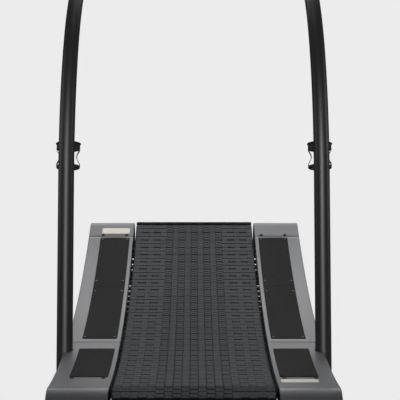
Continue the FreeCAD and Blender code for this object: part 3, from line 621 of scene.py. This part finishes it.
# ribbed rubber hand grips
q = Mesh()
prof = [(TR_ + 0.03, 0.0), (TR_ + 2.6, 0.0), (TR_ + 3.9, 0.9), (TR_ + 4.2, 2.4), (TR_ + 4.2, 6.5), (TR_ + 3.9, 7.6), (TR_ + 3.0, 8.4)]
h = 11.0
while h < 154:
    prof += [(TR_ + 2.9, h), (TR_ + 3.7, h + 0.7), (TR_ + 3.95, h + 1.9), (TR_ + 3.7, h + 3.1), (TR_ + 2.9, h + 3.8)]
    h += 5.2
prof += [(TR_ + 3.0, 156.6), (TR_ + 3.9, 157.4), (TR_ + 4.2, 158.5), (TR_ + 4.2, 162.6), (TR_ + 3.9, 164.1), (TR_ + 2.6, 165.0), (TR_ + 0.03, 165.0)]
lathe(q, prof, Vector((TX, *PE)) + DV * 20, DV, (1, 0, 0), seg=48)
q.both().obj("ribbed_hand_grips", M["foam"], "frame", slot="grip_foam", rep=("hand_grips",), angle=50)

# ------------------------------------------------------------------ bottle cages
beta = asin((805.0 - CB[1]) / 800.0)
CY = CB[0] - cos(beta) * 800.0
CZD, CYD, CXD = Vector((0, sin(beta), cos(beta))), Vector((0, cos(beta), -sin(beta))), Vector((1, 0, 0))


def cage():
    q = Mesh()
    o = Vector((TX, CY, 805.0))
    c = o + CYD * 60.9
    lathe(q, [(34.0, 30.6), (34.6, 30), (35.6, 30), (36.2, 30.7), (36.2, 43.0), (36.9, 45.0), (38.3, 46.4), (38.75, 47.4), (38.7, 48.8), (38.0, 49.8),
              (36.8, 50.0), (35.0, 49.2), (34.1, 47.6), (33.95, 45.5)], c, CZD, CXD, seg=64)
    lathe(q, [(22.4, -29), (34.8, -29), (36.1, -27.8), (36.2, -22.4), (35.4, -21.1), (34.2, -21.3), (33.9, -24.6), (32.8, -25.6), (23.0, -25.8), (22.1, -27.2)], c, CZD, CXD, seg=64)

    def strap(az, w, thick, bow, z0, z1, n=26, pinch=0.0):
        ca, sa = cos(az), sin(az)
        er, et = CXD * ca + CYD * sa, CYD * ca - CXD * sa
        rings = []
        for i in range(n + 1):
            u = i / n
            z = z0 + (z1 - z0) * u
            k = sin(pi * min(1, max(0, (u - 0.06) / 0.82))) ** 1.5
            r = 35.05 - bow * k
            ww = w * (1 - pinch * k) / 2
            m_ = c + CZD * z + er * r
            e_ = 0.45
            rings.append([tuple(m_ + et * px + er * py) for px, py in
                          ((-ww, -thick / 2 + e_), (-ww + e_, -thick / 2), (ww - e_, -thick / 2), (ww, -thick / 2 + e_),
                           (ww, thick / 2 - e_), (ww - e_, thick / 2), (-ww + e_, thick / 2), (-ww, thick / 2 - e_))])
        q.loft(rings)

    strap(0, 15, 2.2, 9.0, 33, -24, pinch=0.3)
    strap(pi, 15, 2.2, 9.0, 33, -24, pinch=0.3)
    strap(pi / 2, 12, 2.2, 2.5, 33, -24)
    strap(-pi / 2, 22, 2.2, 0.0, 47, -24)
    # saddle that sits against the upright, and its two button-head screws
    rings = []
    for z in (-26, -24.8, 34.8, 36):
        e_ = 1.2 if z in (-26, 36) else 0
        rings.append([tuple(o + CXD * px + CYD * py + CZD * z) for px, py in
                      ((-10 + e_, 24.4), (10 - e_, 24.4), (10, 25.2), (10, 26.8), (10 - e_ - 0.7, 27.5), (-10 + e_ + 0.7, 27.5), (-10, 26.8), (-10, 25.2))])
    q.loft(rings)
    s = Mesh()
    for k in (-14, 14):
        lathe(s, [(0, 0), (4.4, 0), (4.4, 0.9), (3.6, 1.9), (2.2, 2.5), (1.6, 2.5), (1.5, 1.2), (0, 1.2)], o + CYD * 27.4 + CZD * k, CYD, CXD, seg=24, closed=False, hexes=(5, 6))
    return q, s


cg, cs = cage()
cg.obj("bottle_cage_moulded_right", M["plastic"], "frame", slot="black_plastic", rep=("bottle_cage_right",), angle=40)
cg.mirrored().obj("bottle_cage_moulded_left", M["plastic"], "frame", slot="black_plastic", rep=("bottle_cage_left",), angle=40)
cs.both().obj("bottle_cage_screws", M["bolt"], "frame", slot="black_fastener", angle=40)

# ------------------------------------------------------------------ display digits on the lens
face_up = radians(62.0)
HO = Vector((0, 746.585, 1533.981))
HZ = Vector((0, -sin(face_up), cos(face_up)))
HX = Vector((1, 0, 0))
HY = HZ.cross(HX)
q = Mesh()
SEGS = {"0": "abcdef", "1": "bc", "2": "abged", "3": "abgcd", "4": "fgbc", "5": "afgcd", "6": "afgedc", "7": "abc", "8": "abcdefg", "9": "abcdfg"}


def bar(x0, y0, x1, y1, w=1.3):
    d = Vector((x1 - x0, y1 - y0, 0))
    l = d.length
    d.normalize()
    n = Vector((-d.y, d.x, 0))
    outl = [(0.4, 0), (w, w * 0.8), (l - w, w * 0.8), (l - 0.4, 0), (l - w, -w * 0.8), (w, -w * 0.8)]
    rings = []
    for hgt in (3.78, 3.98):
        rings.append([tuple(HO + HX * (x0 + d.x * a + n.x * b) + HY * (y0 + d.y * a + n.y * b) + HZ * hgt) for a, b in outl])
    q.loft(rings)


def digit(ch, x, y, w, h_):
    g = {"a": (x, y + h_, x + w, y + h_), "b": (x + w, y + h_ / 2, x + w, y + h_), "c": (x + w, y, x + w, y + h_ / 2), "d": (x, y, x + w, y),
         "e": (x, y, x, y + h_ / 2), "f": (x, y + h_ / 2, x, y + h_), "g": (x, y + h_ / 2, x + w, y + h_ / 2)}
    for k in SEGS[ch]:
        bar(*g[k])


for i, ch in enumerate("0000"):
    digit(ch, -66 + 16 * i + (5 if i > 1 else 0), 38, 10, 20)
for i, ch in enumerate("000"):
    digit(ch, 22 + 15 * i, 38, 9, 20)
for i, ch in enumerate("000"):
    digit(ch, -66 + 12 * i, -6, 7, 15)
for i, ch in enumerate("000"):
    digit(ch, 34 + 12 * i, -6, 7, 15)
q.obj("display_digits", M["digit"], "console_head", slot="lens", smooth=False)

# ------------------------------------------------------------------ materials of the carried-over CAD nodes
SLOT_MAT = {"cover_paint": "cover", "frame_paint": "frame", "tube_paint": "tube", "tread_rubber": "tread", "belt_rubber": "belt", "slat_aluminium": "alu",
            "grip_pad": "grit", "steel": "steel", "black_fastener": "bolt", "plate": "plate", "grip_foam": "foam", "black_plastic": "plastic",
            "lens": "lens", "button_plastic": "button", "pcb": "pcb", "wheel_plastic": "wheel", "pulley_plastic": "pulley"}
slots = {}
for sp in frame["record"].get("subparts", []):
    if isinstance(sp, dict):
        slots[sp.get("node") or sp.get("name")] = sp.get("material_slot") or sp.get("material") or sp.get("slot")
for n, o in NODES.items():
    key = SLOT_MAT.get(slots.get(n))
    if key is None:
        key = "frame"
        print("no slot for", n, slots.get(n))
    # the steel axles and drum bearings take the near-black roller material: painted shade inside the belt loop, hiding
    # their glints
    if n in ("deck_rollers", "roller_studs", "drum_bearings", "front_axle", "rear_axle"):
        key = "roller"
    o.data.materials.clear()
    o.data.materials.append(M[key])
for n in ("side_frame_right", "side_frame_left", "cross_members", "lift_handle", "side_skirt_right", "side_skirt_left", "console_mast", "console_back_shell",
          "console_bezel", "display_lens", "handrail_brackets", "button_1", "button_2", "button_3", "foot_rear_left", "foot_rear_right", "foot_front_left",
          "foot_front_right", "transport_wheel_right", "transport_wheel_left", "one_way_bearing"):
    o = NODES[n]
    wd = o.modifiers.new("weld", "WELD")
    wd.merge_threshold = 0.00001
    bv_ = o.modifiers.new("bevel", "BEVEL")
    bv_.width = 0.0008
    bv_.segments = 2
    bv_.limit_method = "ANGLE"
    bv_.angle_limit = radians(40)
    bv_.harden_normals = False

# ------------------------------------------------------------------ stage, light, camera
scene = bpy.context.scene
scene.view_settings.view_transform = "Standard"
BG = lin((236, 236, 236))[0]

w = bpy.data.worlds.new("studio")
scene.world = w
w.use_nodes = True
nt = w.node_tree
nt.nodes.clear()
N, L = nt.nodes.new, nt.links.new
wo = N("ShaderNodeOutputWorld")
mix = N("ShaderNodeMixShader")
lp = N("ShaderNodeLightPath")
b_cam, b_env = N("ShaderNodeBackground"), N("ShaderNodeBackground")
b_cam.inputs[0].default_value = (BG, BG, BG, 1)
# soft surround: brighter overhead, dark near the horizon
tcn = N("ShaderNodeTexCoord")
sep = N("ShaderNodeSeparateXYZ")
L(tcn.outputs["Generated"], sep.inputs[0])
mr = N("ShaderNodeMapRange")
mr.inputs[1].default_value, mr.inputs[2].default_value = 0.05, 0.9
mr.inputs[3].default_value, mr.inputs[4].default_value = 0.02, 0.15
L(sep.outputs["Z"], mr.inputs[0])
cmb = N("ShaderNodeCombineColor")
for i in range(3):
    L(mr.outputs[0], cmb.inputs[i])
L(cmb.outputs[0], b_env.inputs[0])
L(lp.outputs["Is Camera Ray"], mix.inputs[0])
L(b_env.outputs[0], mix.inputs[1])
L(b_cam.outputs[0], mix.inputs[2])
L(mix.outputs[0], wo.inputs[0])

# floor: evenly bright backdrop tone for camera rays, darkened by ambient occlusion near the machine as a painted
# contact shadow; dark diffuse for all other rays
fm = bpy.data.materials.new("studio_floor_painted_contact_shadow")
fm.use_nodes = True
nt = fm.node_tree
nt.nodes.clear()
N, L = nt.nodes.new, nt.links.new
fo = N("ShaderNodeOutputMaterial")
mx = N("ShaderNodeMixShader")
lp = N("ShaderNodeLightPath")
em, df = N("ShaderNodeEmission"), N("ShaderNodeBsdfDiffuse")
# painted contact shadow: ambient occlusion darkens the floor's emitted tone under and beside the machine
ao = N("ShaderNodeAmbientOcclusion")
ao.samples = 8
ao.inputs["Distance"].default_value = 0.14
ao.inputs["Color"].default_value = (1, 1, 1, 1)
pw = N("ShaderNodeMath")
pw.operation = "POWER"
pw.inputs[1].default_value = 0.8
L(ao.outputs["AO"], pw.inputs[0])
ms = N("ShaderNodeMath")
ms.operation = "MULTIPLY"
ms.inputs[1].default_value = BG
L(pw.outputs[0], ms.inputs[0])
cc = N("ShaderNodeCombineColor")
for i in range(3):
    L(ms.outputs[0], cc.inputs[i])
L(cc.outputs[0], em.inputs[0])
df.inputs[0].default_value = (0.12, 0.12, 0.12, 1)
L(lp.outputs["Is Camera Ray"], mx.inputs[0])
L(df.outputs[0], mx.inputs[1])
L(em.outputs[0], mx.inputs[2])
L(mx.outputs[0], fo.inputs[0])
me = bpy.data.meshes.new("floor")
me.from_pydata([(-30, -30, -0.0005), (30, -30, -0.0005), (30, 30, -0.0005), (-30, 30, -0.0005)], [], [(0, 1, 2, 3)])
me.materials.append(fm)
floor = bpy.data.objects.new("floor", me)
scene.collection.objects.link(floor)


def area(name, loc, target, sx, sy, power):
    l = bpy.data.lights.new(name, "AREA")
    l.shape, l.size, l.size_y, l.energy = "RECTANGLE", sx, sy, power
    o = bpy.data.objects.new(name, l)
    o.location = loc
    o.rotation_euler = (Vector(target) - Vector(loc)).to_track_quat("-Z", "Y").to_euler()
    scene.collection.objects.link(o)
    return o


top = area("softbox_top", (0, 2.9, 3.1), (0, 0.0, 0.3), 2.2, 2.2, 80)
top.visible_glossy = False
area("softbox_sheen", (0, 2.2, 3.6), (0, 0.1, 0.3), 1.6, 1.6, 5)
area("backlight_high", (0, 4.6, 2.7), (0, 0.2, 0.5), 3.6, 1.6, 46)
for nm, loc, sx, sy, pw_ in (("front_strip", (0.1, -5.5, 3.1), 2.2, 2.0, 210), ("front_high", (0.1, -4.0, 4.3), 2.0, 1.8, 95)):
    strip = area(nm, loc, (0, 0, 0.9), sx, sy, pw_)
    strip.visible_diffuse = False
for nm, x in (("side_left", -4.2), ("side_right", 4.2)):
    area(nm, (x, 0.4, 1.9), (0, 0, 0.5), 1.6, 2.4, 32)

cam_d = bpy.data.cameras.new("camera")
cam_d.lens, cam_d.sensor_width, cam_d.shift_x = 126.72, 36.0, 0.015
cam = bpy.data.objects.new("camera", cam_d)
cam.location = (0, -4.3533, 1.552)
cam.rotation_euler = (radians(78.128), 0, 0)
scene.collection.objects.link(cam)
scene.camera = cam
